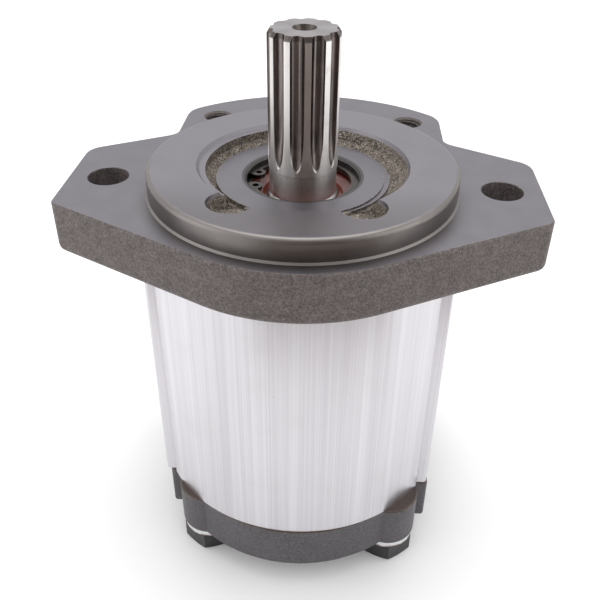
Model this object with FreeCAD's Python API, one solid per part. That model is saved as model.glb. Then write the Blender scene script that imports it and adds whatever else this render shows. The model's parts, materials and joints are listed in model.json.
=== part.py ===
import FreeCAD, Part
import math
import os

from FreeCAD import Placement, Rotation, Vector

# Hydraulic external gear pump with an SAE A two-bolt flange.
# Origin: on the drive shaft axis, in the flange's mounting face. +Z runs out along the
# drive shaft, +X is the outlet side and +Y points from the drive gear to the idler gear.
# All lengths are in millimetres and all angles in degrees.

# ---- Mounting flange (SAE A, two bolts) ----
PILOT_R = 82.55 / 2
PILOT_H = 6.35
FLANGE_T = 14.5
MOUNT_SPACING = 106.4
MOUNT_HOLE_R = 5.55
EAR_END_X = 64.0
EAR_FRONT_Y = -16.6
EAR_BACK_Y = 18.0
FLANGE_FRONT_R = 45.5
TAIL_HALF_WIDTH = 40.5
TAIL_R = 56.3
TAIL_CENTRE_Y = 12.5
SHOULDER_SLOPE = 0.57
EAR_FRONT_CORNER_R = 3.5
EAR_BACK_CORNER_R = 6.0
SHOULDER_CORNER_R = 5.0
TAIL_CORNER_R = 8.5
FLANGE_BACK_FILLET = 2.2
FLANGE_FACE_CHAMFER = 0.35
PILOT_EDGE_R = 1.4
PILOT_FOOT = 0.5

# ---- Cast recess in the pilot ----
DISC_Z = 2.6
DISC_R = 23.1
RECESS_R = 27.3
RECESS_FLOOR_R = 25.4
RECESS_FLOOR_Z = 3.0
RECESS_OFFSET = Vector(1.0, -0.3, 0)
GROOVE_Z = 1.5
GROOVE_HALF_GAP = 33.0
LEDGE_R = 27.4
LEDGE_DEPTH = 0.9
LEDGE_SLOPE = 0.8
LEDGE_OFFSET = Vector(-0.9, 0.5, 0)
GROOVE_FLAT = 0.8
GROOVE_OVERLAP = 0.4
CRESCENT_DEPTH = 0.4
CRESCENT_WIDTH = 0.7
CRESCENT_OFFSET = Vector(-0.8, -0.5, 0)
POCKET_X = 16.0
POCKET_Y = -24.5
POCKET_TOP_R = 6.2
POCKET_FLOOR_R = 4.9
POCKET_Z = 2.0

# ---- Gears ----
TEETH = 10
MODULE = 2.45
PRESSURE_ANGLE = 28.0
BACKLASH = 0.20
GEAR_TIP_R = 14.4
GEAR_ROOT_R = 9.65
GEAR_WIDTH = 30.0
CENTRE_DISTANCE = TEETH * MODULE

# ---- Pump body and rear cover ----
BODY_BOTTOM_Z = -92.5
BODY_ARC_R = 45.3
BODY_ARC_OFFSET = 4.1
PAD_X = 41.3
PAD_STEP_X = 37.9
PAD_REACH = 19.2
PAD_CORNER_R = 1.0
COVER_T = 15.0
COVER_ARC_R = 42.9
COVER_ARC_OFFSET = 1.3
COVER_PROUD = 0.4
COVER_LEFT_X = -40.0
COVER_LOBE_R = 8.8
COVER_TOP_CHAMFER = 0.4
COVER_BOTTOM_FILLET = 0.8
TIP_CLEARANCE = 0.05
END_CLEARANCE = 0.05

# ---- Ports (inlet on -X, outlet on +X) ----
INLET_R = 12.35
INLET_DEPTH = 19.0
INLET_FACE_R = 20.5
INLET_PASSAGE_R = 8.5
OUTLET_R = 10.15
OUTLET_DEPTH = 17.0
OUTLET_FACE_R = 17.0
OUTLET_PASSAGE_R = 6.5
PORT_FACE_DEPTH = 0.4
PORT_CHAMFER = 1.6

# ---- Shafts, bushes and bearing blocks ----
SHAFT_END_Z = 41.0
SPLINE_R = 9.15
SPLINE_TEETH = 11
SPLINE_CUTTER_R = 1.86
SPLINE_CUTTER_AT = 9.5
SPLINE_FULL_Z = 19.5
SPLINE_START_Z = 5.8
SPLINE_HOB_R = 50.0
SPLINE_HOB_SWEEP = 22.0
SPLINE_LAND_ANGLE = -90.0 + 5.8 + 3.6
SPLINE_START_STEP = 0.2
SPLINE_END_CHAMFER = 0.8
SPLINE_END_CHAMFER_H = 1.3
SHAFT_CENTRE_R = 3.1
SHAFT_CENTRE_DRILL_R = 1.5
SHAFT_CENTRE_CONE = 2.8
SHAFT_CENTRE_DEPTH = 6.5
NECK_R = 8.95
JOURNAL_R = 9.48
JOURNAL_TOP_Z = -1.9
JOURNAL_TOP_SLOPE = 0.5
JOURNAL_END_GAP = 0.6
JOURNAL_CHAMFER = 0.8
BUSH_INNER_R = 9.51
BUSH_OUTER_R = 10.5
BUSH_END_GAP = 0.25
BLOCK_R = 14.4
RELIEF_INNER_X = 2.5
RELIEF_OUTER_X = 9.0
RELIEF_HALF_WIDTH = 3.0
RELIEF_DEPTH = 1.0

# ---- Shaft seal and its retaining ring ----
SEAL_BORE_R = 15.0
SEAL_FLOOR_Z = -7.2
SEAL_TOP_Z = -0.2
SHAFT_HOLE_R = 10.6
RING_GROOVE_R = 15.7
RING_T = 1.2
RING_END_GAP = 0.05
SEAL_BORE_CHAMFER = 0.7
RING_INNER_R = 13.1
RING_GAP_HALF_ANGLE = 12.0
RING_LUG_ANGLE = 18.0
RING_LUG_R = 2.0
RING_LUG_HOLE_R = 0.9
LIP_R = 9.53
SEAL_CASE_T = 1.0
SEAL_CASE_FLOOR = 2.4
SEAL_CASE_FLOOR_T = 0.6
SPRING_R = 12.35
SPRING_WIRE_R = 0.6
SPRING_Z = -5.4

# ---- Fasteners, dowels and static seals ----
FRONT_BOLT_X = (-27.2, 29.5)
BACK_BOLT_X = (-30.4, 30.4)
FRONT_BOLT_Y = -23.2
BACK_BOLT_Y = 47.0
BOLT_R = 3.95
BOLT_THREAD_HOLE_R = 4.0
BOLT_CLEARANCE_R = 4.1
BOLT_TIP_Z = -4.4
BOLT_TIP_CHAMFER = 0.8
BLIND_HOLE_TOP_Z = -1.5
HOLE_CHAMFER = 0.6
MOUNT_HOLE_CHAMFER = 0.15
BOLT_HEAD_AF = 15.0
BOLT_HEAD_H = 6.8
BOLT_HEAD_TURNS = [22, 38, 10, 51]
WASHER_R = 8.4
WASHER_T = 1.8
DOWEL_R = 3.0
DOWEL_LENGTH = 15.6
DOWEL_HOLE_DEPTH = 8.0
DOWEL_CHAMFER = 0.5
DOWEL_X = 33.0
DOWEL_REACH = 8.3
BODY_SEAL_INNER_R = 17.2
BODY_SEAL_OUTER_R = 19.6
BODY_SEAL_DEPTH = 1.9
END_SEAL_INNER_R = 11.6
END_SEAL_SPLIT_R = 12.3
END_SEAL_OUTER_R = 13.4
END_SEAL_DEPTH = 2.0
END_SEAL_OPEN_X = -1.0

# ---- Derived positions ----
MID_Y = CENTRE_DISTANCE / 2
BODY_TOP_Z = -FLANGE_T
COVER_BOTTOM_Z = BODY_BOTTOM_Z - COVER_T
MID_Z = (BODY_TOP_Z + BODY_BOTTOM_Z) / 2
GEAR_TOP_Z = MID_Z + GEAR_WIDTH / 2
GEAR_BOTTOM_Z = MID_Z - GEAR_WIDTH / 2
WASHER_BOTTOM_Z = COVER_BOTTOM_Z - WASHER_T
HEAD_BOTTOM_Z = WASHER_BOTTOM_Z - BOLT_HEAD_H
FRONT_BOLTS = [Vector(x, FRONT_BOLT_Y, 0) for x in FRONT_BOLT_X]
BACK_BOLTS = [Vector(x, BACK_BOLT_Y, 0) for x in BACK_BOLT_X]
BOLT_CENTRES = FRONT_BOLTS + BACK_BOLTS
DOWEL_CENTRES = [Vector(side * DOWEL_X, MID_Y + side * DOWEL_REACH, 0) for side in (-1, 1)]
DRIVE_AXIS = Vector(0, 0, 0)
IDLER_AXIS = Vector(0, CENTRE_DISTANCE, 0)
UP = Vector(0, 0, 1)


# ---- Geometry helpers ----
def cylinder(radius, z0, z1, centre=DRIVE_AXIS):
    return Part.makeCylinder(radius, z1 - z0, Vector(centre.x, centre.y, z0), UP)


def cone(r0, r1, z0, z1, centre=DRIVE_AXIS):
    return Part.makeCone(r0, r1, z1 - z0, Vector(centre.x, centre.y, z0), UP)


def box(x0, x1, y0, y1, z0, z1):
    return Part.makeBox(x1 - x0, y1 - y0, z1 - z0, Vector(x0, y0, z0))


def ring(inner, outer, z0, z1, centre=DRIVE_AXIS):
    return cylinder(outer, z0, z1, centre).cut(cylinder(inner, z0, z1, centre))


def union(shapes):
    return shapes[0].multiFuse(shapes[1:]).removeSplitter()


def revolve(section):
    """Solid of revolution about the shaft axis from (radius, z) corners."""
    points = [Vector(r, 0, z) for r, z in section]
    face = Part.Face(Part.makePolygon(points + points[:1]))
    return face.revolve(Vector(0, 0, 0), UP, 360)


def wedge(start, end, reach, z0, z1):
    """Sector about the shaft axis between two angles."""
    edge = Part.makeCircle(reach, Vector(0, 0, z0), UP, start, end)
    first = edge.Vertexes[0].Point
    last = edge.Vertexes[-1].Point
    centre = Vector(0, 0, z0)
    wire = Part.Wire([Part.makeLine(centre, first), edge, Part.makeLine(last, centre)])
    return Part.Face(wire).extrude(Vector(0, 0, z1 - z0))


def two_bore(radius, z0, z1):
    """Figure-eight prism about the two gear axes."""
    return union([cylinder(radius, z0, z1), cylinder(radius, z0, z1, IDLER_AXIS)])


def racetrack(radius, z0, z1):
    """Prism about the two gear axes with straight sides."""
    return union([two_bore(radius, z0, z1), box(-radius, radius, 0, CENTRE_DISTANCE, z0, z1)])


def upright_edges(shape, x, y, tolerance=0.6):
    """The vertical edges that stand at (x, y)."""
    found = []
    for edge in shape.Edges:
        ends = [vertex.Point for vertex in edge.Vertexes]
        if len(ends) != 2 or abs(ends[0].z - ends[1].z) < 1:
            continue
        middle = (ends[0] + ends[1]) * 0.5
        if abs(middle.x - x) < tolerance and abs(middle.y - y) < tolerance:
            found.append(edge)
    return found


def outline_edges(shape, z, min_radius):
    """Edges in the plane z whose middle is further than min_radius from the shaft axis."""
    found = []
    for edge in shape.Edges:
        middle = edge.valueAt((edge.FirstParameter + edge.LastParameter) / 2)
        flat = abs(edge.BoundBox.ZMin - z) < 1e-4 and abs(edge.BoundBox.ZMax - z) < 1e-4
        if flat and math.hypot(middle.x, middle.y) > min_radius:
            found.append(edge)
    return found


# ---- Flange ----
def flange_plate():
    """Two-eared plate with a rounded front and a broad rounded tail."""
    ear = math.asin(FLANGE_FRONT_R / math.hypot(EAR_END_X, EAR_FRONT_Y))
    tangent = math.atan2(EAR_FRONT_Y, EAR_END_X) - (math.pi / 2 - ear)
    front = Vector(FLANGE_FRONT_R * math.cos(tangent), FLANGE_FRONT_R * math.sin(tangent), 0)
    tail_y = TAIL_CENTRE_Y + math.sqrt(TAIL_R**2 - TAIL_HALF_WIDTH**2)
    shoulder_y = EAR_BACK_Y + (EAR_END_X - TAIL_HALF_WIDTH) * SHOULDER_SLOPE
    right = [
        front,
        Vector(EAR_END_X, EAR_FRONT_Y, 0),
        Vector(EAR_END_X, EAR_BACK_Y, 0),
        Vector(TAIL_HALF_WIDTH, shoulder_y, 0),
        Vector(TAIL_HALF_WIDTH, tail_y, 0),
    ]
    left = [Vector(-point.x, point.y, 0) for point in right]
    edges = [Part.Arc(left[0], Vector(0, -FLANGE_FRONT_R, 0), right[0]).toShape()]
    edges += [Part.makeLine(a, b) for a, b in zip(right, right[1:])]
    edges.append(Part.Arc(right[-1], Vector(0, TAIL_CENTRE_Y + TAIL_R, 0), left[-1]).toShape())
    edges += [Part.makeLine(b, a) for a, b in zip(left, left[1:])]
    outline = Part.Wire(Part.__sortEdges__(edges))
    plate = Part.Face(outline).extrude(Vector(0, 0, -FLANGE_T))
    corners = [
        (EAR_FRONT_CORNER_R, EAR_END_X, EAR_FRONT_Y),
        (EAR_BACK_CORNER_R, EAR_END_X, EAR_BACK_Y),
        (SHOULDER_CORNER_R, TAIL_HALF_WIDTH, shoulder_y),
        (TAIL_CORNER_R, TAIL_HALF_WIDTH, tail_y),
    ]
    for radius, x, y in corners:
        for side in (-x, x):
            plate = plate.makeFillet(radius, upright_edges(plate, side, y))
    plate = plate.makeFillet(FLANGE_BACK_FILLET, outline_edges(plate, -FLANGE_T, SHAFT_HOLE_R))
    return plate.makeChamfer(FLANGE_FACE_CHAMFER, outline_edges(plate, 0, SHAFT_HOLE_R))


def pilot_boss():
    """Locating spigot with a rounded upper edge and a small fillet ring at its foot."""
    spigot = cylinder(PILOT_R, -1, PILOT_H)
    spigot = spigot.makeFillet(PILOT_EDGE_R, outline_edges(spigot, PILOT_H, SHAFT_HOLE_R))
    return union([spigot, cone(PILOT_R + PILOT_FOOT, PILOT_R, 0, PILOT_FOOT)])


def pilot_recess():
    """Everything cut from above inside the pilot: ledge, cast recess, groove, disc, pockets."""
    above = PILOT_H + 1
    gap_start = -90 - GROOVE_HALF_GAP
    gap_end = -90 + GROOVE_HALF_GAP
    groove_r = RECESS_FLOOR_R + GROOVE_OVERLAP
    slope = (RECESS_R - RECESS_FLOOR_R) / (PILOT_H - RECESS_FLOOR_Z)
    recess = cone(RECESS_FLOOR_R, RECESS_R + slope, RECESS_FLOOR_Z, above, RECESS_OFFSET)
    ledge_z = PILOT_H - LEDGE_DEPTH
    ledge_top_r = LEDGE_R + LEDGE_SLOPE / LEDGE_DEPTH
    ledge = cone(LEDGE_R - LEDGE_SLOPE, ledge_top_r, ledge_z, above, LEDGE_OFFSET)
    disc = cylinder(DISC_R, DISC_Z, above)
    front_sector = wedge(gap_start, gap_end, RECESS_FLOOR_R, DISC_Z, above)
    groove = revolve([
        (DISC_R, above), (DISC_R, GROOVE_Z), (DISC_R + GROOVE_FLAT, GROOVE_Z),
        (groove_r, RECESS_FLOOR_Z + 0.02), (groove_r, above),
    ])
    groove = groove.cut(wedge(gap_start, gap_end, PILOT_R, 0, above))
    crescent = cylinder(DISC_R, DISC_Z - CRESCENT_DEPTH, above)
    crescent = crescent.cut(cylinder(DISC_R - CRESCENT_WIDTH, 0, above, CRESCENT_OFFSET))
    pockets = []
    for x in (-POCKET_X, POCKET_X):
        centre = Vector(x, POCKET_Y, 0)
        pockets.append(cone(POCKET_FLOOR_R, POCKET_TOP_R, POCKET_Z, above, centre))
    return union([recess, ledge, disc, front_sector, groove, crescent] + pockets)


def front_flange():
    """Flange with its pilot, shaft seal bore and every hole."""
    shape = union([flange_plate(), pilot_boss()])
    cuts = [
        pilot_recess(),
        cylinder(SEAL_BORE_R, SEAL_FLOOR_Z, DISC_Z + 1),
        cone(SEAL_BORE_R, SEAL_BORE_R + SEAL_BORE_CHAMFER, DISC_Z - 0.6, DISC_Z + 0.1),
        cylinder(RING_GROOVE_R, SEAL_TOP_Z, SEAL_TOP_Z + RING_T + 2 * RING_END_GAP),
        cylinder(SHAFT_HOLE_R, BODY_TOP_Z - 1, SEAL_FLOOR_Z + 1),
    ]
    for side in (-1, 1):
        centre = Vector(side * MOUNT_SPACING / 2, 0, 0)
        cuts.append(cylinder(MOUNT_HOLE_R, BODY_TOP_Z - 1, 1, centre))
        wide_r = MOUNT_HOLE_R + MOUNT_HOLE_CHAMFER
        cuts.append(cone(MOUNT_HOLE_R, wide_r, -MOUNT_HOLE_CHAMFER, 0.001, centre))
    for centre in BOLT_CENTRES:
        through = centre in BACK_BOLTS
        top = 1 if through else BLIND_HOLE_TOP_Z
        cuts.append(cylinder(BOLT_THREAD_HOLE_R, BODY_TOP_Z - 1, top, centre))
        if through:
            wide_r = BOLT_THREAD_HOLE_R + HOLE_CHAMFER
            cuts.append(cone(BOLT_THREAD_HOLE_R, wide_r, -HOLE_CHAMFER, 0.001, centre))
    for centre in DOWEL_CENTRES:
        cuts.append(cylinder(DOWEL_R, BODY_TOP_Z - 1, BODY_TOP_Z + DOWEL_HOLE_DEPTH, centre))
    return shape.cut(union(cuts)).removeSplitter()


# ---- Body and cover ----
def housing_pieces(z0, z1, arc_r, arc_offset, proud, left_x):
    """Prisms that make the housing's section: two broad arcs, and the port pads."""
    front_round = cylinder(arc_r, z0, z1, Vector(0, arc_offset, 0))
    back_round = cylinder(arc_r, z0, z1, Vector(0, CENTRE_DISTANCE - arc_offset, 0))
    step_x = PAD_STEP_X + proud
    middle = box(-step_x, step_x, -arc_r, CENTRE_DISTANCE + arc_r, z0, z1)
    rounds = front_round.fuse(back_round).common(middle).removeSplitter()
    pad_y = PAD_REACH + proud
    pad = box(left_x, PAD_X + proud, -pad_y, CENTRE_DISTANCE + pad_y, z0, z1)
    for y in (-pad_y, CENTRE_DISTANCE + pad_y):
        for x in (left_x, PAD_X + proud):
            pad = pad.makeFillet(PAD_CORNER_R, upright_edges(pad, x, y))
    return [rounds, pad]


def port(side, radius, depth, face_r, passage_r):
    """Threaded port bore, spot face, mouth chamfer and passage to the gear mesh."""
    outwards = Vector(side, 0, 0)

    def drill(r0, r1, start, length):
        base = Vector(side * (PAD_X - start), MID_Y, MID_Z)
        if r0 == r1:
            return Part.makeCylinder(r0, length, base, outwards * -1)
        return Part.makeCone(r0, r1, length, base, outwards * -1)

    return union([
        drill(face_r, face_r, -0.01, PORT_FACE_DEPTH + 0.01),
        drill(radius + PORT_CHAMFER, radius, PORT_FACE_DEPTH - 0.001, PORT_CHAMFER),
        drill(radius, radius, 0, depth),
        drill(radius, passage_r, depth - 0.001, radius - passage_r),
        drill(passage_r, passage_r, 0, PAD_X),
    ])


def pump_body():
    """Extruded body with the gear chamber, ports, bolt and dowel holes and seal grooves."""
    shape = union(housing_pieces(
        BODY_BOTTOM_Z, BODY_TOP_Z, BODY_ARC_R, BODY_ARC_OFFSET, 0, -PAD_X))
    below = BODY_BOTTOM_Z - 1
    above = BODY_TOP_Z + 1
    cuts = [
        two_bore(GEAR_TIP_R + TIP_CLEARANCE, below, above),
        port(-1, INLET_R, INLET_DEPTH, INLET_FACE_R, INLET_PASSAGE_R),
        port(1, OUTLET_R, OUTLET_DEPTH, OUTLET_FACE_R, OUTLET_PASSAGE_R),
    ]
    for centre in BOLT_CENTRES:
        cuts.append(cylinder(BOLT_CLEARANCE_R, below, above, centre))
    for centre in DOWEL_CENTRES:
        cuts.append(cylinder(DOWEL_R, BODY_TOP_Z - DOWEL_HOLE_DEPTH, above, centre))
        cuts.append(cylinder(DOWEL_R, below, BODY_BOTTOM_Z + DOWEL_HOLE_DEPTH, centre))
    cuts.append(body_seal(BODY_TOP_Z - BODY_SEAL_DEPTH))
    cuts.append(body_seal(BODY_BOTTOM_Z))
    return shape.cut(union(cuts)).removeSplitter()


def rear_cover():
    """Cover plate with a round lobe at each bolt and blind dowel holes."""
    pieces = housing_pieces(
        COVER_BOTTOM_Z, BODY_BOTTOM_Z, COVER_ARC_R, COVER_ARC_OFFSET, COVER_PROUD,
        COVER_LEFT_X)
    for centre in BOLT_CENTRES:
        pieces.append(cylinder(COVER_LOBE_R, COVER_BOTTOM_Z, BODY_BOTTOM_Z, centre))
    eased = []
    for piece in pieces:
        top_edges = outline_edges(piece, BODY_BOTTOM_Z, 0)
        piece = piece.makeChamfer(COVER_TOP_CHAMFER, top_edges)
        bottom_edges = outline_edges(piece, COVER_BOTTOM_Z, 0)
        eased.append(piece.makeFillet(COVER_BOTTOM_FILLET, bottom_edges))
    shape = union(eased)
    above = BODY_BOTTOM_Z + 1
    cuts = []
    for centre in BOLT_CENTRES:
        cuts.append(cylinder(BOLT_CLEARANCE_R, COVER_BOTTOM_Z - 1, above, centre))
    for centre in DOWEL_CENTRES:
        cuts.append(cylinder(DOWEL_R, BODY_BOTTOM_Z - DOWEL_HOLE_DEPTH, above, centre))
    return shape.cut(union(cuts))


# ---- Bearing blocks, bushes and static seals ----
def end_seal_band(inner, outer, z0, z1):
    """Open figure-eight band that follows both bores on the outlet side."""
    band = two_bore(outer, z0, z1).cut(two_bore(inner, z0, z1))
    half = box(END_SEAL_OPEN_X, outer, -outer, CENTRE_DISTANCE + outer, z0, z1)
    return band.common(half)


def bearing_block(z0, z1, seal_at_top):
    """Figure-eight block with two bush bores, an end seal groove and gear-side relief slots."""
    shape = two_bore(BLOCK_R, z0, z1)
    seal_z = z1 - END_SEAL_DEPTH if seal_at_top else z0
    relief_z = z0 if seal_at_top else z1 - RELIEF_DEPTH
    cuts = [
        cylinder(BUSH_OUTER_R, z0, z1),
        cylinder(BUSH_OUTER_R, z0, z1, IDLER_AXIS),
        end_seal_band(END_SEAL_INNER_R, END_SEAL_OUTER_R, seal_z, seal_z + END_SEAL_DEPTH),
    ]
    for x0, x1 in ((RELIEF_INNER_X, RELIEF_OUTER_X), (-RELIEF_OUTER_X, -RELIEF_INNER_X)):
        y0 = MID_Y - RELIEF_HALF_WIDTH
        y1 = MID_Y + RELIEF_HALF_WIDTH
        cuts.append(box(x0, x1, y0, y1, relief_z, relief_z + RELIEF_DEPTH))
    return shape.cut(union(cuts))


def bush(axis, z0, z1):
    return ring(BUSH_INNER_R, BUSH_OUTER_R, z0, z1, axis)


def body_seal(z0):
    """Racetrack ring around both gear bores."""
    z1 = z0 + BODY_SEAL_DEPTH
    return racetrack(BODY_SEAL_OUTER_R, z0, z1).cut(racetrack(BODY_SEAL_INNER_R, z0, z1))


# ---- Gears and shafts ----
def flank_angle(radius):
    """Half the angle that a tooth takes up at this radius, in radians."""
    pitch_r = CENTRE_DISTANCE / 2
    pressure = math.radians(PRESSURE_ANGLE)
    base_r = pitch_r * math.cos(pressure)
    local = math.acos(min(1, base_r / radius))
    thickness = math.pi * MODULE / 2 - BACKLASH
    at_base = thickness / (2 * pitch_r) + math.tan(pressure) - pressure
    return at_base - (math.tan(local) - local)


def polar(radius, angle, z):
    return Vector(radius * math.cos(angle), radius * math.sin(angle), z)


def gear(axis, first_tooth, z0, z1):
    """Involute spur gear whose first tooth points at first_tooth."""
    base_r = CENTRE_DISTANCE / 2 * math.cos(math.radians(PRESSURE_ANGLE))
    radii = [base_r + (GEAR_TIP_R - base_r) * step / 6 for step in range(7)]
    pitch = 2 * math.pi / TEETH
    edges = []
    for tooth in range(TEETH):
        middle = math.radians(first_tooth) + tooth * pitch
        rising = [polar(r, middle - flank_angle(r), z0) for r in radii]
        falling = [polar(r, middle + flank_angle(r), z0) for r in reversed(radii)]
        start = polar(GEAR_ROOT_R, middle - flank_angle(base_r), z0)
        end = polar(GEAR_ROOT_R, middle + flank_angle(base_r), z0)
        following = polar(GEAR_ROOT_R, middle + pitch - flank_angle(base_r), z0)
        curves = []
        for points in (rising, falling):
            curve = Part.BSplineCurve()
            curve.interpolate(points)
            curves.append(curve.toShape())
        edges += [
            Part.makeLine(start, rising[0]),
            curves[0],
            Part.Arc(rising[-1], polar(GEAR_TIP_R, middle, z0), falling[0]).toShape(),
            curves[1],
            Part.makeLine(falling[-1], end),
            Part.Arc(end, polar(GEAR_ROOT_R, middle + pitch / 2, z0), following).toShape(),
        ]
    face = Part.Face(Part.Wire(edges))
    solid = face.extrude(Vector(0, 0, z1 - z0))
    solid.translate(Vector(axis.x, axis.y, 0))
    return solid


def spline_cutter(angle):
    """Round-bottomed groove that leaves the shaft on the hob's arc at its inner end."""
    start = Vector(SPLINE_CUTTER_AT, 0, SPLINE_FULL_Z)
    straight = cylinder(SPLINE_CUTTER_R, SPLINE_FULL_Z, SHAFT_END_Z + 1, start)
    section = Part.Face(Part.Wire(Part.makeCircle(SPLINE_CUTTER_R, start, UP)))
    hob_centre = start + Vector(SPLINE_HOB_R, 0, 0)
    runout = section.revolve(hob_centre, Vector(0, -1, 0), SPLINE_HOB_SWEEP)
    cutter = straight.fuse(runout)
    cutter.rotate(Vector(0, 0, 0), UP, angle)
    return cutter


def lower_journal():
    """(radius, z) corners of the journal end that both gears share."""
    end_z = BODY_BOTTOM_Z + JOURNAL_END_GAP
    return [
        (0, end_z), (JOURNAL_R - JOURNAL_CHAMFER, end_z),
        (JOURNAL_R, end_z + JOURNAL_CHAMFER),
    ]


def drive_gear_shaft():
    """Drive gear in one piece with its journals and splined drive end."""
    stem = revolve(lower_journal() + [
        (JOURNAL_R, JOURNAL_TOP_Z), (NECK_R, JOURNAL_TOP_Z + JOURNAL_TOP_SLOPE),
        (NECK_R, SPLINE_START_Z - SPLINE_START_STEP), (SPLINE_R, SPLINE_START_Z),
        (SPLINE_R, SHAFT_END_Z - SPLINE_END_CHAMFER_H),
        (SPLINE_R - SPLINE_END_CHAMFER, SHAFT_END_Z), (0, SHAFT_END_Z),
    ])
    pitch = 360 / SPLINE_TEETH
    cone_z = SHAFT_END_Z - SHAFT_CENTRE_CONE
    cuts = [
        cone(SHAFT_CENTRE_DRILL_R, SHAFT_CENTRE_R, cone_z, SHAFT_END_Z + 0.001),
        cylinder(SHAFT_CENTRE_DRILL_R, SHAFT_END_Z - SHAFT_CENTRE_DEPTH, SHAFT_END_Z),
    ]
    for tooth in range(SPLINE_TEETH):
        cuts.append(spline_cutter(SPLINE_LAND_ANGLE + pitch * (tooth + 0.5)))
    stem = stem.cut(cuts)
    return union([stem, gear(DRIVE_AXIS, 90, GEAR_BOTTOM_Z, GEAR_TOP_Z)])


def idler_gear_shaft():
    """Idler gear in one piece with its two journals."""
    end_z = BODY_TOP_Z - JOURNAL_END_GAP
    journal = revolve(lower_journal() + [
        (JOURNAL_R, end_z - JOURNAL_CHAMFER), (JOURNAL_R - JOURNAL_CHAMFER, end_z),
        (0, end_z),
    ])
    journal.translate(IDLER_AXIS)
    return union([journal, gear(IDLER_AXIS, -90 + 180 / TEETH, GEAR_BOTTOM_Z, GEAR_TOP_Z)])


# ---- Shaft seal and retaining ring ----
def seal_case():
    """Pressed steel case of the shaft seal."""
    wall_r = SEAL_BORE_R - SEAL_CASE_T
    floor_r = SEAL_BORE_R - SEAL_CASE_FLOOR
    floor_z = SEAL_FLOOR_Z + SEAL_CASE_FLOOR_T
    return revolve([
        (wall_r, SEAL_TOP_Z), (SEAL_BORE_R, SEAL_TOP_Z), (SEAL_BORE_R, SEAL_FLOOR_Z),
        (floor_r, SEAL_FLOOR_Z), (floor_r, floor_z), (wall_r, floor_z),
    ])


def seal_lip():
    """Rubber diaphragm with an oil lip below and a dust lip above."""
    wall_r = SEAL_BORE_R - SEAL_CASE_T
    return revolve([
        (wall_r, -0.9), (wall_r, -2.4), (12.2, -3.1), (11.4, -6.5), (10.3, -6.9),
        (LIP_R, -5.9), (10.7, -4.2), (10.5, -3.3), (LIP_R, -2.5), (9.9, -2.1),
        (10.9, -2.3), (12.7, -1.5),
    ])


def garter_spring():
    """Spring ring that loads the oil lip."""
    return Part.makeTorus(SPRING_R, SPRING_WIRE_R, Vector(0, 0, SPRING_Z), UP)


def retaining_ring():
    """Internal snap ring with two drilled lugs at its gap."""
    z0 = SEAL_TOP_Z + RING_END_GAP
    z1 = z0 + RING_T
    outer_r = RING_GROOVE_R - RING_END_GAP
    shape = ring(RING_INNER_R, outer_r, z0, z1)
    gap_start = 180 - RING_GAP_HALF_ANGLE
    shape = shape.cut(wedge(gap_start, 180 + RING_GAP_HALF_ANGLE, SHAFT_HOLE_R * 2, z0, z1))
    lugs = []
    holes = []
    for turn in (-RING_LUG_ANGLE, RING_LUG_ANGLE):
        centre = polar(RING_INNER_R, math.radians(180 + turn), 0)
        lugs.append(cylinder(RING_LUG_R, z0, z1, centre))
        holes.append(cylinder(RING_LUG_HOLE_R, z0, z1, centre * 0.985))
    shape = union([shape] + lugs).common(cylinder(outer_r, z0, z1))
    return shape.cut(union(holes))


# ---- Fasteners ----
def hexagon(across_flats, z0, z1, turn):
    corner_r = across_flats / math.sqrt(3)
    corners = [polar(corner_r, math.radians(60 * i + turn), z0) for i in range(7)]
    return Part.Face(Part.makePolygon(corners)).extrude(Vector(0, 0, z1 - z0))


def body_bolt(centre, turn):
    """Hexagon-head bolt through cover and body into the flange, head at the bottom."""
    chamfer_r = BOLT_HEAD_AF / 2 * 0.96
    corner_r = BOLT_HEAD_AF / math.sqrt(3)
    rise = (corner_r + 0.3 - chamfer_r) * 0.55
    barrel = revolve([
        (0, HEAD_BOTTOM_Z), (chamfer_r, HEAD_BOTTOM_Z), (corner_r + 0.3, HEAD_BOTTOM_Z + rise),
        (corner_r + 0.3, WASHER_BOTTOM_Z), (0, WASHER_BOTTOM_Z),
    ])
    head = hexagon(BOLT_HEAD_AF, HEAD_BOTTOM_Z, WASHER_BOTTOM_Z, turn).common(barrel)
    shank_z = BOLT_TIP_Z - BOLT_TIP_CHAMFER
    shank = cylinder(BOLT_R, WASHER_BOTTOM_Z - 1, shank_z)
    tip = cone(BOLT_R, BOLT_R - BOLT_TIP_CHAMFER, shank_z, BOLT_TIP_Z)
    bolt = union([head, shank, tip])
    bolt.translate(centre)
    return bolt


def washer(centre):
    return ring(BOLT_CLEARANCE_R, WASHER_R, WASHER_BOTTOM_Z, COVER_BOTTOM_Z, centre)


def dowel(centre, joint_z):
    """Dowel pin that centres one joint face."""
    end = DOWEL_LENGTH / 2
    pin = revolve([
        (0, -end), (DOWEL_R - DOWEL_CHAMFER, -end), (DOWEL_R, -end + DOWEL_CHAMFER),
        (DOWEL_R, end - DOWEL_CHAMFER), (DOWEL_R - DOWEL_CHAMFER, end), (0, end),
    ])
    pin.Placement = Placement(Vector(centre.x, centre.y, joint_z), Rotation())
    return pin


# ---- Assembly ----
blocks = {
    "front": (GEAR_TOP_Z + END_CLEARANCE, BODY_TOP_Z - END_CLEARANCE, True),
    "rear": (BODY_BOTTOM_Z + END_CLEARANCE, GEAR_BOTTOM_Z - END_CLEARANCE, False),
}
bolts = [body_bolt(centre, turn) for centre, turn in zip(BOLT_CENTRES, BOLT_HEAD_TURNS)]
washers = [washer(centre) for centre in BOLT_CENTRES]
front_pins = [dowel(centre, BODY_TOP_Z) for centre in DOWEL_CENTRES]
rear_pins = [dowel(centre, BODY_BOTTOM_Z) for centre in DOWEL_CENTRES]

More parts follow.
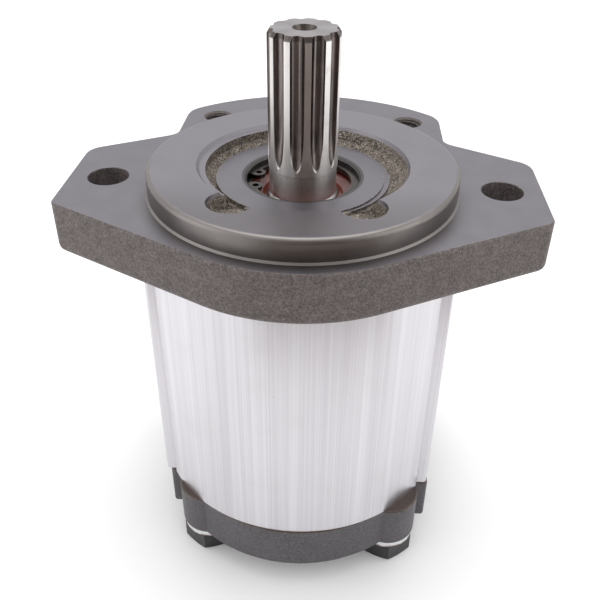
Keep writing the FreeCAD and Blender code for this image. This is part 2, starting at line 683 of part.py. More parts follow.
pieces = {
    "front_flange": front_flange(),
    "pump_body": pump_body(),
    "rear_cover": rear_cover(),
    "drive_gear_shaft": drive_gear_shaft(),
    "idler_gear_shaft": idler_gear_shaft(),
    "shaft_seal_case": seal_case(),
    "shaft_seal_lip": seal_lip(),
    "shaft_seal_spring": garter_spring(),
    "retaining_ring": retaining_ring(),
    "body_bolts": Part.makeCompound(bolts),
    "bolt_washers": Part.makeCompound(washers),
    "front_dowel_pins": Part.makeCompound(front_pins),
    "rear_dowel_pins": Part.makeCompound(rear_pins),
    "front_body_seal": body_seal(BODY_TOP_Z - BODY_SEAL_DEPTH),
    "rear_body_seal": body_seal(BODY_BOTTOM_Z),
}
for end, (low, high, seal_at_top) in blocks.items():
    pieces[end + "_bearing_block"] = bearing_block(low, high, seal_at_top)
    bush_low = low + BUSH_END_GAP
    bush_high = high - BUSH_END_GAP
    pieces["drive_" + end + "_bush"] = bush(DRIVE_AXIS, bush_low, bush_high)
    pieces["idler_" + end + "_bush"] = bush(IDLER_AXIS, bush_low, bush_high)
    z0 = high - END_SEAL_DEPTH if seal_at_top else low
    z1 = z0 + END_SEAL_DEPTH
    pieces[end + "_pressure_seal"] = end_seal_band(END_SEAL_SPLIT_R, END_SEAL_OUTER_R, z0, z1)
    pieces[end + "_backup_ring"] = end_seal_band(END_SEAL_INNER_R, END_SEAL_SPLIT_R, z0, z1)

os.makedirs("parts", exist_ok=True)
for node, shape in pieces.items():
    shape.exportStep("parts/" + node + ".step")
    print(node, len(shape.Solids), "solid(s)", round(shape.Volume, 1), "mm3", shape.isValid())
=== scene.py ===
"""Looks of a hydraulic gear pump on its CAD frame: materials, screw threads, light, camera."""

import json
import math

import bpy
from mathutils import Matrix, Vector


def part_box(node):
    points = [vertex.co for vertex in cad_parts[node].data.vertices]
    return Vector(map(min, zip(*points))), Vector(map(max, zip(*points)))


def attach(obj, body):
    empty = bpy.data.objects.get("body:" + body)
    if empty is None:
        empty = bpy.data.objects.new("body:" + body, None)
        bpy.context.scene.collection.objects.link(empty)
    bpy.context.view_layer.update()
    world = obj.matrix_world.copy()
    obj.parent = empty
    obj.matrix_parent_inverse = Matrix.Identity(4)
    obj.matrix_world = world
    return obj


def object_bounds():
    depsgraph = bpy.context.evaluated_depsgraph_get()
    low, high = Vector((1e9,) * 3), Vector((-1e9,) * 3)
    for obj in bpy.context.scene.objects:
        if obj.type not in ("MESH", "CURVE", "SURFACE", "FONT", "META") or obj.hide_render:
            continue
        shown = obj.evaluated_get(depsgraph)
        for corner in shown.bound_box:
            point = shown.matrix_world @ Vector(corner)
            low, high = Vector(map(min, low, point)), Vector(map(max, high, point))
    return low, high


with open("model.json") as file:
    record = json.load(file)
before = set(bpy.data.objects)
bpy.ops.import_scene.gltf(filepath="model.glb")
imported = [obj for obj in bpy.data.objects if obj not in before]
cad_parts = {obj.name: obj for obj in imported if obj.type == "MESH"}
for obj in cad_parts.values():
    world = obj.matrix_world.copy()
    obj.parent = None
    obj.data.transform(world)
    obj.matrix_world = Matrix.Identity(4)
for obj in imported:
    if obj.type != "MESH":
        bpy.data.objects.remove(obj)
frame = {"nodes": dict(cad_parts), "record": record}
cad_low, cad_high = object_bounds()
nodes = frame["nodes"]
mounts = {mount["name"]: mount for mount in frame["record"]["mounts"]}
scene = bpy.context.scene

MM = 0.001

# ---- Places read from the frame ----
flange_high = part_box("front_flange")[1]
shaft_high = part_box("drive_gear_shaft")[1]
bolts_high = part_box("body_bolts")[1]
washers_low, washers_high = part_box("bolt_washers")
cover_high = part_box("rear_cover")[1]

PILOT_TOP = flange_high.z
PILOT_R = mounts["pilot"]["dims"]["r_mm"] * MM
WASHER_R = 8.4 * MM
BOLT_X = washers_high.x - WASHER_R
BOLT_BACK_Y = washers_high.y - WASHER_R
BOLT_TIP_Z = bolts_high.z

# ---- Zones of the flange, as radii and heights about the shaft axis ----
DISC_R = 23.1 * MM
DISC_Z = 2.6 * MM
BORE_MOUTH_R = 16.2 * MM
RECESS_ZONE_R = 31.0 * MM
LEDGE_DEPTH = 0.9 * MM
PILOT_SIDE_INNER_R = 39.6 * MM
FOOT_RING = 0.6 * MM

# ---- Zones of the drive shaft ----
SPLINE_R = 9.15 * MM
SPLINE_START_Z = 5.8 * MM
END_CHAMFER_H = 1.3 * MM

# ---- Measures that several materials share ----
FLAT_NZ = (0.93, 0.985)
EDGE_DOT = (0.985, 0.86)
FINE_MARK = 0.006 * MM


# ---- Node helpers ----
class Shader:
    """A material's node tree with short ways to add the nodes used here."""

    def __init__(self, name):
        self.material = bpy.data.materials.new(name)
        self.material.use_nodes = True
        self.tree = self.material.node_tree
        self.tree.nodes.clear()
        place = self.node("ShaderNodeTexCoord").outputs
        self.at = place["Object"]
        split = self.node("ShaderNodeSeparateXYZ", Vector=self.at).outputs
        self.x, self.y, self.z = split["X"], split["Y"], split["Z"]
        self.nz = self.node("ShaderNodeSeparateXYZ", Vector=place["Normal"]).outputs["Z"]

    def node(self, kind, settings=None, **inputs):
        """A node of this kind; an input is a value or another node's output."""
        made = self.tree.nodes.new(kind)
        for key, value in (settings or {}).items():
            setattr(made, key, value)
        for key, value in inputs.items():
            name = key.replace("_", " ")
            socket = made.inputs[int(key[1:])] if key[1:].isdigit() else made.inputs[name]
            if isinstance(value, bpy.types.NodeSocket):
                self.tree.links.new(value, socket)
            else:
                socket.default_value = value
        return made

    def math(self, operation, a, b=0.0, c=0.0):
        """Result of one arithmetic operation."""
        made = self.node("ShaderNodeMath", {"operation": operation}, i0=a, i1=b, i2=c)
        return made.outputs[0]

    def add(self, a, b):
        return self.math("ADD", a, b)

    def times(self, a, b):
        return self.math("MULTIPLY", a, b)

    def both(self, *masks):
        """Product of masks: 1 only where all of them are 1."""
        result = masks[0]
        for mask in masks[1:]:
            result = self.times(result, mask)
        return result

    def ramp(self, value, low, high):
        """0 at low, 1 at high, smooth between; low may be the larger."""
        if low < high:
            made = self.node("ShaderNodeMapRange", {"interpolation_type": "SMOOTHSTEP"},
                             Value=value, From_Min=low, From_Max=high)
            return made.outputs["Result"]
        made = self.node("ShaderNodeMapRange", {"interpolation_type": "SMOOTHSTEP"},
                         Value=value, From_Min=high, From_Max=low, To_Min=1.0, To_Max=0.0)
        return made.outputs["Result"]

    def between(self, value, low, high, soft):
        """1 between low and high, with soft shoulders."""
        return self.times(
            self.ramp(value, low - soft, low), self.ramp(value, high + soft, high))

    def span(self, value, low, high):
        """Maps 0..1 to low..high."""
        made = self.node("ShaderNodeMapRange", Value=value, To_Min=low, To_Max=high)
        return made.outputs["Result"]

    def radius(self):
        """Distance from the shaft axis."""
        squares = self.add(self.times(self.x, self.x), self.times(self.y, self.y))
        return self.math("SQRT", squares)

    def stretched(self, sx, sy, sz):
        """Object coordinates scaled differently along each axis."""
        made = self.node("ShaderNodeVectorMath", {"operation": "MULTIPLY"},
                         i0=self.at, i1=(sx, sy, sz))
        return made.outputs[0]

    def noise(self, pitch, detail=3.0, roughness=0.55, vector=None):
        """Noise whose lumps are about pitch metres across."""
        made = self.node("ShaderNodeTexNoise", Vector=vector or self.at, Scale=1 / pitch,
                         Detail=detail, Roughness=roughness)
        return made.outputs["Fac"]

    def stripes(self, value, per_metre, detail=2.0):
        """Noise that varies only with value, such as the marks of a lathe."""
        made = self.node("ShaderNodeTexNoise", {"noise_dimensions": "1D"},
                         W=self.times(value, per_metre), Scale=1.0, Detail=detail)
        return made.outputs["Fac"]

    def cells(self, pitch, feature="F1"):
        """Distance field of scattered cells about pitch metres apart."""
        made = self.node("ShaderNodeTexVoronoi", {"feature": feature},
                         Vector=self.at, Scale=1 / pitch)
        return made.outputs["Distance"]

    def mix(self, factor, a, b):
        """Colour mix."""
        made = self.node("ShaderNodeMix", {"data_type": "RGBA"}, i0=factor)
        for index, value in ((6, a), (7, b)):
            if isinstance(value, bpy.types.NodeSocket):
                self.tree.links.new(value, made.inputs[index])
            else:
                made.inputs[index].default_value = (*value, 1.0)
        return made.outputs[2]

    def blend(self, factor, a, b):
        """Number mix."""
        made = self.node("ShaderNodeMix", {"data_type": "FLOAT"}, i0=factor, i2=a, i3=b)
        return made.outputs[0]

    def bump(self, height, depth, after=None):
        """Normal from a height of 0..1 that stands for depth metres."""
        made = self.node("ShaderNodeBump", Height=height, Strength=1.0, Distance=depth)
        if after is not None:
            self.tree.links.new(after, made.inputs["Normal"])
        return made.outputs["Normal"]

    def edge(self, reach):
        """1 on edges that a bevel of this reach would round, 0 on flats."""
        bevel = self.node("ShaderNodeBevel", {"samples": 6}, Radius=reach).outputs[0]
        face = self.node("ShaderNodeNewGeometry").outputs["Normal"]
        dot = self.node("ShaderNodeVectorMath", {"operation": "DOT_PRODUCT"}, i0=bevel, i1=face)
        return self.ramp(dot.outputs["Value"], *EDGE_DOT)

    def finish(self, color, roughness, metallic=1.0, normal=None, **fixed):
        """Principled surface; fixed values go on the shader's own sockets."""
        surface = self.node("ShaderNodeBsdfPrincipled")
        for socket, value in (("Base Color", color), ("Roughness", roughness),
                              ("Metallic", metallic), ("Normal", normal)):
            if isinstance(value, bpy.types.NodeSocket):
                self.tree.links.new(value, surface.inputs[socket])
            elif value is not None:
                surface.inputs[socket].default_value = value
        for key, value in fixed.items():
            surface.inputs[key.replace("_", " ")].default_value = value
        output = self.node("ShaderNodeOutputMaterial")
        self.tree.links.new(surface.outputs[0], output.inputs["Surface"])
        return self.material


# ---- Materials ----
def cast_flange():
    """Phosphated iron: satin machined faces, pebbly cast walls, rough cast recess."""
    s = Shader("cast_flange")
    r = s.radius()
    level = s.ramp(s.nz, *FLAT_NZ)
    outside_pilot = s.ramp(r, PILOT_R - 0.1 * MM, PILOT_R)
    top_face = s.both(level, s.ramp(s.z, -0.45 * MM, -0.3 * MM), outside_pilot)
    ledge_z = PILOT_TOP - LEDGE_DEPTH
    pilot_top = s.ramp(s.z, ledge_z - 0.1 * MM, ledge_z - 0.02 * MM)
    on_disc = s.ramp(r, DISC_R + 0.2 * MM, DISC_R)
    disc = s.both(level, on_disc, s.ramp(s.z, DISC_Z - 0.5 * MM, DISC_Z - 0.45 * MM))
    back_face = s.ramp(s.nz, -FLAT_NZ[0], -FLAT_NZ[1])
    bore = s.ramp(r, BORE_MOUTH_R + 0.2 * MM, BORE_MOUTH_R)
    below_disc = s.both(s.ramp(r, DISC_R - 0.4 * MM, DISC_R - 0.5 * MM),
                        s.ramp(s.z, DISC_Z - 0.5 * MM, DISC_Z - 0.7 * MM))
    inside = s.math("MAXIMUM", bore, below_disc)
    pilot_side = s.both(s.between(r, PILOT_SIDE_INNER_R, PILOT_R + FOOT_RING, 0.1 * MM),
                        s.ramp(s.z, -0.2 * MM, 0.0), s.ramp(s.nz, 0.97, 0.93))
    flat = s.math("MAXIMUM", s.math("MAXIMUM", top_face, pilot_top), disc)
    turned = s.math("MAXIMUM", s.math("MAXIMUM", flat, pilot_side),
                    s.math("MAXIMUM", back_face, inside))
    cast = s.math("SUBTRACT", 1.0, turned)
    in_recess = s.ramp(r, RECESS_ZONE_R + 0.5 * MM, RECESS_ZONE_R)
    recess = s.both(cast, in_recess, s.ramp(s.z, -0.1 * MM, 0.1 * MM))
    worn = s.edge(0.3 * MM)

    pebbles = s.cells(0.6 * MM, feature="SMOOTH_F1")
    grit = s.noise(0.3 * MM, 4.0, 0.65)
    lumps = s.noise(3.2 * MM, 3.0)
    skin = s.add(s.times(pebbles, 0.4), s.add(s.times(grit, 0.7), s.times(lumps, 0.3)))
    glint_patches = s.ramp(s.noise(2.0 * MM), 0.43, 0.58)
    glints = s.both(s.ramp(s.noise(0.3 * MM, 1.0), 0.58, 0.68), glint_patches)

    cloud = s.noise(9 * MM, 4.0)
    fine = s.noise(0.25 * MM, 2.0)
    # Painted reflection: the top face darkens next to the pilot at the front, standing in for the
    # dark pilot wall mirrored there.
    pilot_reflection_shade = s.both(s.ramp(r, PILOT_R + 5 * MM, PILOT_R), s.ramp(s.y, 5 * MM, -30 * MM), top_face)
    front_shade = s.both(pilot_top, s.ramp(s.y, -12 * MM, -34 * MM))
    flat_color = s.mix(cloud, (0.175, 0.166, 0.184), (0.235, 0.225, 0.248))
    flat_color = s.mix(s.times(s.ramp(fine, 0.62, 0.75), 0.3), flat_color, (0.31, 0.30, 0.31))
    flat_color = s.mix(s.times(pilot_top, 0.35), flat_color, (0.30, 0.285, 0.31))
    flat_color = s.mix(s.times(pilot_reflection_shade, 0.6), flat_color, (0.115, 0.105, 0.09))
    flat_color = s.mix(s.times(front_shade, 0.45), flat_color, (0.11, 0.10, 0.095))
    side_color = s.mix(cloud, (0.17, 0.156, 0.148), (0.28, 0.258, 0.247))
    cast_color = s.mix(s.ramp(skin, 0.4, 0.95), (0.095, 0.081, 0.079), (0.235, 0.205, 0.198))
    recess_color = s.mix(s.ramp(skin, 0.45, 0.8), (0.032, 0.026, 0.022), (0.29, 0.25, 0.215))
    color = s.mix(pilot_side, flat_color, side_color)
    # Painted shade: the bore walls and the bore beneath the disc get a darker colour than the
    # machined faces.
    color = s.mix(inside, color, (0.10, 0.095, 0.095))
    color = s.mix(cast, color, cast_color)
    color = s.mix(recess, color, recess_color)
    color = s.mix(s.both(glints, s.add(s.times(cast, 0.1), s.times(recess, 0.85))), color,
                  (0.78, 0.73, 0.64))
    color = s.mix(s.both(worn, s.ramp(s.noise(1.1 * MM), 0.45, 0.66), 0.7), color, (0.5, 0.48, 0.46))

    roughness = s.blend(pilot_side, s.span(cloud, 0.38, 0.48), s.span(cloud, 0.34, 0.46))
    roughness = s.blend(cast, roughness, s.span(grit, 0.48, 0.68))
    height = s.add(s.times(skin, cast), s.times(fine, 0.02))
    normal = s.bump(height, 0.55 * MM)
    lathe = s.stripes(r, 9000.0)
    normal = s.bump(s.times(lathe, flat), FINE_MARK, normal)
    metallic = s.blend(cast, 1.0, 0.75)
    return s.finish(color, roughness, metallic, normal)


def extruded_body():
    """Bare extruded aluminium: long vertical die lines, faint bands and a few dark specks."""
    s = Shader("extruded_body")
    across = s.stretched(1.0, 1.0, 0.0025)
    lines = s.noise(0.3 * MM, 4.0, 0.65, across)
    bands = s.noise(3.0 * MM, 3.0, 0.5, across)
    broad = s.noise(11 * MM, 2.0, 0.5, s.stretched(1.0, 1.0, 0.04))
    cloud = s.noise(14 * MM, 4.0)
    specks = s.both(s.ramp(s.cells(3.4 * MM), 0.06, 0.035), s.ramp(s.noise(5 * MM), 0.54, 0.6))
    end_face = s.ramp(s.math("ABSOLUTE", s.nz), *FLAT_NZ)
    color = s.mix(s.ramp(lines, 0.25, 0.75), (0.575, 0.556, 0.588), (0.70, 0.684, 0.715))
    color = s.mix(s.times(s.ramp(bands, 0.48, 0.66), 0.4), color, (0.76, 0.755, 0.775))
    color = s.mix(s.times(s.ramp(broad, 0.5, 0.3), 0.4), color, (0.50, 0.485, 0.51))
    color = s.mix(s.times(s.ramp(cloud, 0.55, 0.75), 0.15), color, (0.52, 0.49, 0.50))
    color = s.mix(s.times(specks, 0.55), color, (0.20, 0.17, 0.16))
    color = s.mix(s.times(end_face, 0.5), color, (0.66, 0.66, 0.67))
    roughness = s.add(s.span(lines, 0.24, 0.36), s.times(cloud, 0.06))
    normal = s.bump(s.add(s.times(lines, 0.3), bands), FINE_MARK)
    return s.finish(color, roughness, 1.0, normal)


def cast_cover():
    """Dark phosphated iron with a fine grain and a rubbed upper edge."""
    s = Shader("cast_cover")
    grain = s.noise(0.55 * MM, 4.0, 0.6)
    lumps = s.noise(4.5 * MM, 3.0)
    cloud = s.noise(11 * MM, 3.0)
    worn = s.edge(0.4 * MM)
    rim = s.ramp(s.z, cover_high.z - 0.5 * MM, cover_high.z - 0.3 * MM)
    height = s.add(s.times(grain, 0.6), s.times(lumps, 0.8))
    color = s.mix(cloud, (0.095, 0.090, 0.098), (0.145, 0.138, 0.146))
    color = s.mix(s.times(s.ramp(grain, 0.52, 0.68), 0.45), color, (0.24, 0.225, 0.23))
    color = s.mix(s.times(s.ramp(grain, 0.46, 0.34), 0.5), color, (0.045, 0.04, 0.04))
    color = s.mix(s.times(rim, 0.6), color, (0.12, 0.085, 0.062))
    color = s.mix(s.both(worn, s.ramp(s.noise(1.2 * MM), 0.4, 0.62), 0.6), color, (0.42, 0.39, 0.37))
    return s.finish(color, s.span(grain, 0.42, 0.6), 0.85, s.bump(height, 0.11 * MM))


def ground_steel():
    """Hardened steel: ground journals and teeth, hobbed grooves with brown tint."""
    s = Shader("ground_steel")
    r = s.radius()
    along = s.noise(0.35 * MM, 3.0, 0.6, s.stretched(1.0, 1.0, 0.02))
    streaks = s.noise(0.9 * MM, 3.0, 0.6, s.stretched(1.0, 1.0, 0.03))
    rings = s.stripes(s.z, 6000.0, 3.0)
    cloud = s.noise(6 * MM, 4.0)
    specks = s.both(s.ramp(s.cells(2.1 * MM), 0.10, 0.05), s.ramp(s.noise(3 * MM), 0.52, 0.6))
    splined = s.ramp(s.z, SPLINE_START_Z - 0.3 * MM, SPLINE_START_Z + 0.2 * MM)
    groove = s.both(splined, s.ramp(r, SPLINE_R - 0.05 * MM, SPLINE_R - 0.2 * MM))
    end_face = s.ramp(s.nz, 0.9, 0.97)
    chamfer_z = shaft_high.z - END_CHAMFER_H
    end_chamfer = s.both(s.ramp(s.z, chamfer_z - 0.05 * MM, chamfer_z + 0.05 * MM),
                         s.ramp(s.nz, 0.9, 0.8))
    worn = s.edge(0.2 * MM)
    color = s.mix(along, (0.66, 0.635, 0.615), (0.83, 0.81, 0.795))
    groove_color = s.mix(s.ramp(streaks, 0.38, 0.62), (0.04, 0.03, 0.029), (0.20, 0.165, 0.155))
    color = s.mix(s.times(groove, 0.92), color, groove_color)
    color = s.mix(s.times(s.ramp(cloud, 0.5, 0.75), 0.3), color, (0.36, 0.29, 0.26))
    color = s.mix(s.times(end_face, 0.8), color, (0.33, 0.31, 0.32))
    color = s.mix(s.times(end_chamfer, 0.8), color, (0.10, 0.085, 0.08))
    color = s.mix(s.times(specks, 0.6), color, (0.10, 0.085, 0.075))
    color = s.mix(s.times(worn, 0.4), color, (0.86, 0.85, 0.84))
    roughness = s.add(s.span(along, 0.25, 0.32), s.times(cloud, 0.06))
    texture = s.blend(splined, s.times(rings, 0.6), along)
    return s.finish(color, roughness, 1.0, s.bump(texture, FINE_MARK), Anisotropic=0.9,
                    Anisotropic_Rotation=0.25)


def black_bolt():
    """Black oxide steel, rubbed on corners and flats."""
    s = Shader("black_bolt")
    grain = s.noise(0.5 * MM, 4.0, 0.6)
    cloud = s.noise(3 * MM, 3.0)
    worn = s.edge(0.35 * MM)
    color = s.mix(cloud, (0.035, 0.035, 0.039), (0.085, 0.083, 0.085))
    color = s.mix(s.both(worn, s.ramp(s.noise(0.9 * MM), 0.36, 0.6), 0.7), color, (0.36, 0.35, 0.35))
    return s.finish(color, s.span(grain, 0.26, 0.48), 0.9, s.bump(grain, 0.03 * MM))


def zinc_washer():
    """Bright zinc with a rusty lower rim."""
    s = Shader("zinc_washer")
    grain = s.noise(0.3 * MM, 3.0)
    middle_z = (washers_low.z + washers_high.z) / 2
    rust = s.both(s.ramp(s.z, middle_z, washers_low.z), s.ramp(s.noise(1.6 * MM), 0.36, 0.6))
    color = s.mix(grain, (0.70, 0.71, 0.73), (0.86, 0.87, 0.88))
    color = s.mix(s.times(rust, 0.8), color, (0.30, 0.13, 0.07))
    roughness = s.blend(rust, s.span(grain, 0.2, 0.34), 0.6)
    return s.finish(color, roughness, 1.0, s.bump(grain, 0.015 * MM))


def bearing_aluminium():
    """Machined aluminium with concentric tool marks."""
    s = Shader("bearing_aluminium")
    rings = s.stripes(s.radius(), 7000.0)
    cloud = s.noise(5 * MM, 3.0)
    color = s.mix(cloud, (0.58, 0.58, 0.585), (0.70, 0.70, 0.70))
    return s.finish(color, s.span(rings, 0.28, 0.42), 1.0, s.bump(rings, 0.01 * MM))


def bush_bronze():
    """Sintered bronze liner, grey-brown with open pores."""
    s = Shader("bush_bronze")
    pores = s.cells(0.35 * MM)
    cloud = s.noise(3 * MM, 3.0)
    color = s.mix(cloud, (0.44, 0.32, 0.19), (0.58, 0.45, 0.29))
    color = s.mix(s.ramp(pores, 0.25, 0.1), color, (0.20, 0.15, 0.10))
    return s.finish(color, s.span(cloud, 0.34, 0.5), 1.0, s.bump(pores, 0.02 * MM))


def rubber(name, dark, light, gloss):
    """Moulded rubber with a fine bloom; oily where gloss is high."""
    s = Shader(name)
    bloom = s.noise(1.4 * MM, 4.0)
    grain = s.noise(0.16 * MM, 2.0)
    color = s.mix(bloom, dark, light)
    roughness = s.span(bloom, 0.62 - gloss, 0.78 - gloss)
    return s.finish(color, roughness, 0.0, s.bump(grain, 0.02 * MM), Coat_Weight=gloss * 0.6,
                    Coat_Roughness=0.12)


def backup_plastic():
    """Natural nylon, slightly mottled and translucent at its edges."""
    s = Shader("backup_plastic")
    mottle = s.noise(1.1 * MM, 3.0)
    color = s.mix(mottle, (0.70, 0.66, 0.55), (0.84, 0.80, 0.70))
    return s.finish(color, s.span(mottle, 0.36, 0.5), 0.0, s.bump(mottle, 0.02 * MM),
                    Subsurface_Weight=0.15, Subsurface_Scale=0.6 * MM)


def plain_steel(name, dark, light, low, high, tint):
    """Steel stamping or pin: a mottled finish with rubbed edges."""
    s = Shader(name)
    mottle = s.noise(1.3 * MM, 4.0)
    grain = s.noise(0.22 * MM, 3.0)
    worn = s.edge(0.15 * MM)
    color = s.mix(mottle, dark, light)
    color = s.mix(s.times(worn, 0.55), color, tint)
    return s.finish(color, s.span(grain, low, high), 1.0, s.bump(grain, 0.01 * MM))


finishes = {
    "cast_flange": cast_flange(),
    "extruded_body": extruded_body(),
    "cast_cover": cast_cover(),
    "ground_steel": ground_steel(),
    "bearing_aluminium": bearing_aluminium(),
    "bush_bronze": bush_bronze(),
    "seal_rubber": rubber("seal_rubber", (0.015, 0.015, 0.016), (0.035, 0.034, 0.034), 0.25),
    "backup_plastic": backup_plastic(),
    "dowel_steel": plain_steel(
        "dowel_steel", (0.48, 0.48, 0.48), (0.62, 0.62, 0.62), 0.18, 0.3, (0.8, 0.8, 0.8)),
    "black_bolt": black_bolt(),
    "zinc_washer": zinc_washer(),
    "seal_case_steel": plain_steel(
        "seal_case_steel", (0.09, 0.08, 0.075), (0.17, 0.155, 0.145), 0.2, 0.34, (0.45, 0.42, 0.4)),
    "lip_rubber": rubber("lip_rubber", (0.085, 0.013, 0.009), (0.16, 0.03, 0.018), 0.45),
    "ring_steel": plain_steel(
        "ring_steel", (0.045, 0.04, 0.037), (0.10, 0.09, 0.082), 0.2, 0.36, (0.4, 0.37, 0.34)),
}

for entry in frame["record"]["subparts"]:
    mesh = nodes[entry["node"]].data
    mesh.materials.clear()
    mesh.materials.append(finishes[entry["material_slot"]])


# ---- Screw threads ----
ROOT_DEPTH = 0.05 * MM
HALF_ROOT = 0.46
HALF_CREST = 0.07
FADE_RATE = 1.5


def thread(name, centre, direction, radius, height, pitch, length, finish, steps=48):
    """Helical ridge inside a hole, from centre inwards along direction."""
    axis = Vector(direction).normalized()
    side = axis.orthogonal().normalized()
    other = axis.cross(side)
    turns = length / pitch
    count = int(turns * steps)
    vertices = []
    faces = []
    for step in range(count + 1):
        angle = 2 * math.pi * step / steps
        fade = min(1.0, step / steps * FADE_RATE, (count - step) / steps * FADE_RATE)
        outward = side * math.cos(angle) + other * math.sin(angle)
        middle = Vector(centre) + axis * (pitch * step / steps)
        root = radius + ROOT_DEPTH
        crest = radius - height * fade
        profile = ((root, -HALF_ROOT), (crest, -HALF_CREST), (crest, HALF_CREST), (root, HALF_ROOT))
        for reach, offset in profile:
            vertices.append(middle + outward * reach + axis * (offset * pitch))
        if step:
            first = 4 * (step - 1)
            for corner in range(4):
                following = (corner + 1) % 4
                faces.append((first + corner, first + following,
                              first + 4 + following, first + 4 + corner))
    faces.append((3, 2, 1, 0))
    last = 4 * count
    faces.append((last, last + 1, last + 2, last + 3))
    mesh = bpy.data.meshes.new(name)
    mesh.from_pydata(vertices, [], faces)
    mesh.update()
    piece = bpy.data.objects.new(name, mesh)
    scene.collection.objects.link(piece)
    mesh.materials.append(finishes[finish])
    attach(piece, "housing")


TAPPED_R = 4.0 * MM
TAPPED_RIDGE = 0.42 * MM
TAPPED_PITCH = 1.25 * MM
TAPPED_START_Z = -1.0 * MM
TAPPED_END_GAP = 0.7 * MM
for label, x in (("left", -BOLT_X), ("right", BOLT_X)):
    start = Vector((x, BOLT_BACK_Y, TAPPED_START_Z))
    depth = TAPPED_START_Z - BOLT_TIP_Z - TAPPED_END_GAP
    thread("tapped_hole_thread_" + label, start, (0, 0, -1), TAPPED_R, TAPPED_RIDGE,
           TAPPED_PITCH, depth, "cast_flange")

INCH = 25.4 * MM
PORT_RIDGE = 0.55 * MM
PORT_MOUTH = 1.9 * MM
PORT_END_GAP = 4 * MM
PORT_STEPS = 72
for name, pitch in (("inlet_port", INCH / 12), ("outlet_port", INCH / 14)):
    mount = mounts[name]
    outward = Vector(mount["axis"])
    length = mount["dims"]["length_mm"] * MM
    middle = Vector(mount["pos_m"])
    start = middle + outward * (length / 2 - PORT_MOUTH)
    thread(name + "_thread", start, -outward, mount["dims"]["r_mm"] * MM, PORT_RIDGE, pitch,
           length - PORT_END_GAP, "extruded_body", PORT_STEPS)


# ---- Floor, light and camera ----
FLOOR_SIZE = 12
FLOOR_COLOR = (0.93, 0.93, 0.93)


def stage_material(name, color, roughness):
    """Matt paint with hardly any variation."""
    s = Shader(name)
    tint = s.mix(s.noise(0.4, 2.0), color, [min(1.0, c * 1.01) for c in color])
    return s.finish(tint, roughness, 0.0)


def panel(name, width, depth, place, aim=None):
    """Flat rectangle facing aim, or upwards."""
    half_w, half_d = width / 2, depth / 2
    mesh = bpy.data.meshes.new(name)
    corners = [(-half_w, -half_d, 0), (half_w, -half_d, 0),
               (half_w, half_d, 0), (-half_w, half_d, 0)]
    mesh.from_pydata(corners, [], [(0, 1, 2, 3)])
    made = bpy.data.objects.new(name, mesh)
    scene.collection.objects.link(made)
    made.location = place
    if aim is not None:
        made.rotation_mode = "QUATERNION"
        made.rotation_quaternion = (Vector(aim) - Vector(place)).to_track_quat("Z", "Y")
    return made


floor = panel("floor", FLOOR_SIZE, FLOOR_SIZE, (0, 0, cad_low.z))
floor.data.materials.append(stage_material("floor_paint", FLOOR_COLOR, 0.75))


def softbox(name, place, aim, width, depth, power):
    """Rectangular light of this power in watts, facing aim."""
    data = bpy.data.lights.new(name, "AREA")
    data.shape = "RECTANGLE"
    data.size, data.size_y = width, depth
    data.energy = power
    light = bpy.data.objects.new(name, data)
    scene.collection.objects.link(light)
    light.location = place
    light.rotation_mode = "QUATERNION"
    light.rotation_quaternion = (Vector(aim) - Vector(place)).to_track_quat("-Z", "Y")


CARD_COLOR = (0.16, 0.12, 0.105)
CARD_INNER_R = 184 * MM
CARD_OUTER_R = 1200 * MM
CARD_START_DEGREES = -28
CARD_END_DEGREES = 60
CARD_STEP_DEGREES = 4
BACK_CARD_PLACE = (0.25, -1.25, 0.95)
BACK_CARD_AIM = (0.0, 0.0, 0.95)
BACK_CARD_WIDTH = 1.7
BACK_CARD_HEIGHT = 2.1


def reflected_only(card, name):
    """Dark stage piece that shows in reflections but neither to the camera nor as a shadow."""
    card.data.materials.append(stage_material(name + "_paint", CARD_COLOR, 0.8))
    card.visible_camera = False
    card.visible_diffuse = False
    card.visible_shadow = False


def floor_card(name):
    """Ring sector on the floor in front of the pump, angles in degrees from -Y towards +X."""
    vertices = []
    faces = []
    for angle in range(CARD_START_DEGREES, CARD_END_DEGREES + 1, CARD_STEP_DEGREES):
        turn = math.radians(angle)
        outwards = Vector((math.sin(turn), -math.cos(turn), 0))
        vertices += [outwards * CARD_INNER_R, outwards * CARD_OUTER_R]
        if angle > CARD_START_DEGREES:
            first = len(vertices) - 4
            faces.append((first, first + 1, first + 3, first + 2))
    mesh = bpy.data.meshes.new(name)
    mesh.from_pydata(vertices, [], faces)
    card = bpy.data.objects.new(name, mesh)
    scene.collection.objects.link(card)
    card.location.z = cad_low.z + 0.5 * MM
    return card


reflected_only(floor_card("floor_card"), "floor_card")
back_card = panel("back_card", BACK_CARD_WIDTH, BACK_CARD_HEIGHT, BACK_CARD_PLACE, BACK_CARD_AIM)
reflected_only(back_card, "back_card")

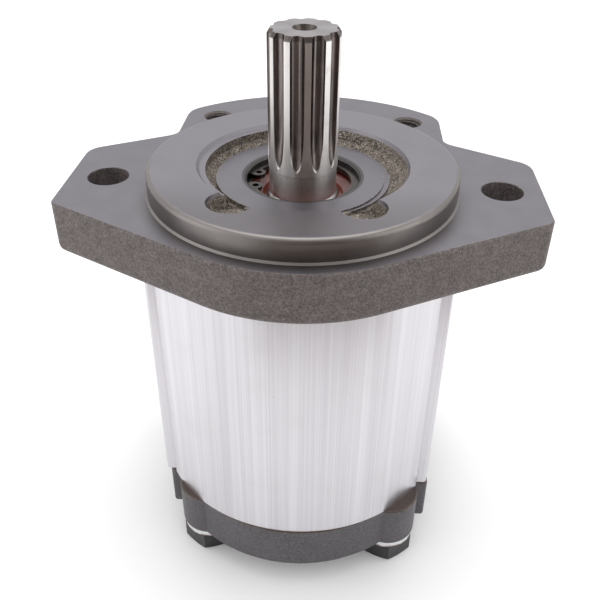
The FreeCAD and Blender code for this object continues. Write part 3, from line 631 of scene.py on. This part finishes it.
MIDDLE = (cad_low + cad_high) / 2
TOP_PLACE = (0.0, 0.25, 0.85)
LEFT_PLACE = (-0.75, -0.25, 0.25)
RIGHT_PLACE = (0.75, -0.2, 0.25)
TOP_POWER = 4.0
SIDE_POWER = 1.0
softbox("top_box", TOP_PLACE, MIDDLE, 0.9, 0.7, TOP_POWER)
softbox("left_box", LEFT_PLACE, MIDDLE, 0.5, 0.7, SIDE_POWER)
softbox("right_box", RIGHT_PLACE, MIDDLE, 0.5, 0.7, SIDE_POWER)

world = bpy.data.worlds.new("studio")
scene.world = world
world.use_nodes = True
tree = world.node_tree
tree.nodes.clear()
background = tree.nodes.new("ShaderNodeBackground")
background.inputs["Color"].default_value = (1, 1, 1, 1)
output = tree.nodes.new("ShaderNodeOutputWorld")
tree.links.new(background.outputs[0], output.inputs["Surface"])

VIEW_AZIMUTH = math.radians(3.585)
VIEW_ELEVATION = math.radians(34.644)
VIEW_ROLL = math.radians(0.625)
VIEW_TARGET = Vector((-0.395, 0.0, -38.158)) * MM
VIEW_DISTANCE = 225.04 * MM
LENS = 45.27


def photo_camera():
    """Camera at the photographed viewing angle."""
    data = bpy.data.cameras.new("camera")
    data.sensor_width = 36.0
    data.lens = LENS
    data.clip_start, data.clip_end = 0.01, 50.0
    camera = bpy.data.objects.new("camera", data)
    scene.collection.objects.link(camera)
    back = Vector((
        math.sin(VIEW_AZIMUTH) * math.cos(VIEW_ELEVATION),
        -math.cos(VIEW_AZIMUTH) * math.cos(VIEW_ELEVATION),
        math.sin(VIEW_ELEVATION),
    ))
    right = (-back).cross(Vector((0, 0, 1))).normalized()
    up = right.cross(-back)
    rolled_right = right * math.cos(VIEW_ROLL) + up * math.sin(VIEW_ROLL)
    rolled_up = up * math.cos(VIEW_ROLL) - right * math.sin(VIEW_ROLL)
    place = VIEW_TARGET + back * VIEW_DISTANCE
    turn = Matrix((rolled_right, rolled_up, back)).transposed().to_4x4()
    camera.matrix_world = Matrix.Translation(place) @ turn
    return camera


scene.camera = photo_camera()
scene.view_settings.view_transform = "Standard"
